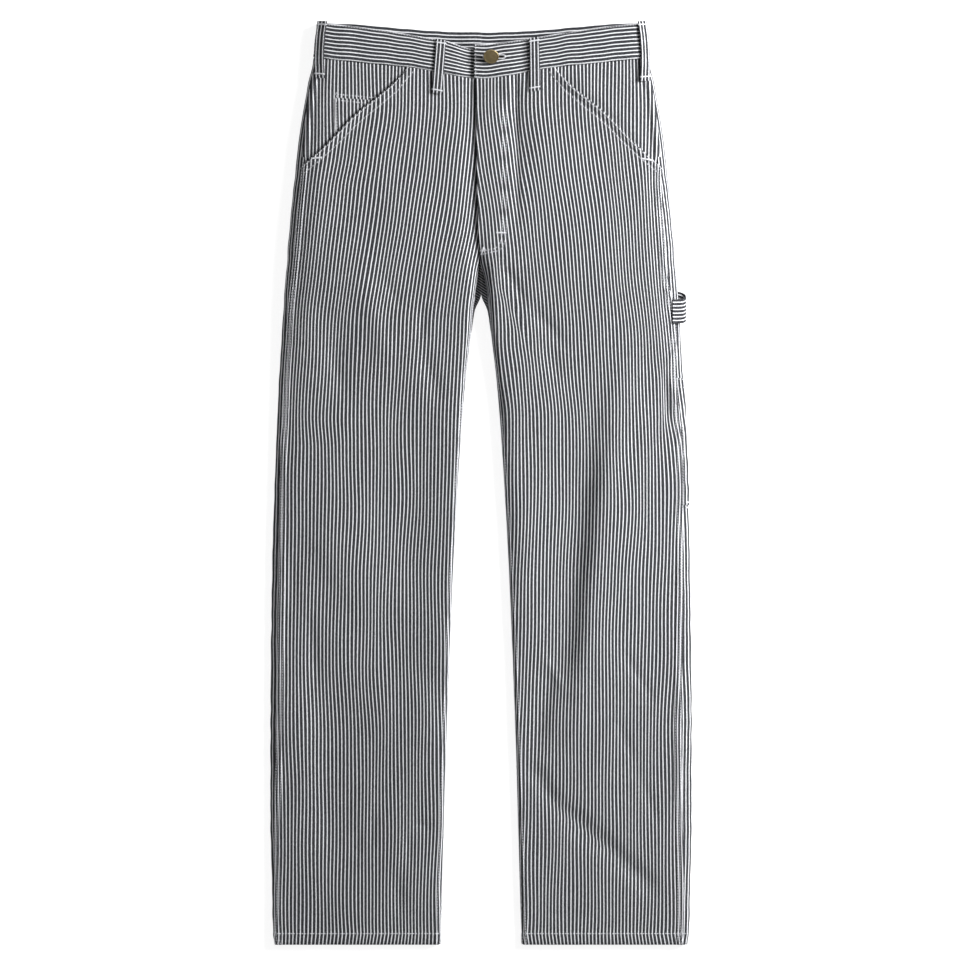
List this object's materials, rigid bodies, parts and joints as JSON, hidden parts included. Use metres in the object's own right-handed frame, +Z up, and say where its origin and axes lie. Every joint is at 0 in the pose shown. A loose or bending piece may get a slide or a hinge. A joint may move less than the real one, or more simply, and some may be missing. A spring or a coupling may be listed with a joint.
{
  "type": "carpenter pants",
  "caption": "Striped denim carpenter pants lying flat on their back, with slanted hip pockets, a lapped fly, a hammer loop and a narrow tool pocket.",
  "frame": {"origin": "middle of the garment's outline, on the surface it lies on", "axes": "+Y from the hems to the waist, +X to the wearer's left, +Z up from the surface, on the side of the fly"},
  "size_m": [0.489, 1.0695, 0.0283],
  "materials": {
    "denim": "woven cotton denim with narrow pale stripes on a dark ground, matt",
    "button": "aged, satin"
  },
  "bodies": {
    "root": {"front_right": "denim", "front_left": "denim", "back_right": "denim", "back_left": "denim", "waistband_right": "denim", "waistband_left": "denim", "pocket_facing_right": "denim", "pocket_facing_left": "denim", "coin_pocket": "denim", "tool_pocket": "denim", "hammer_loop": "denim", "belt_loop_front_right": "denim", "belt_loop_front_left": "denim", "belt_loop_side_right": "denim", "belt_loop_side_left": "denim", "button": "button"}
  },
  "joints": []
}
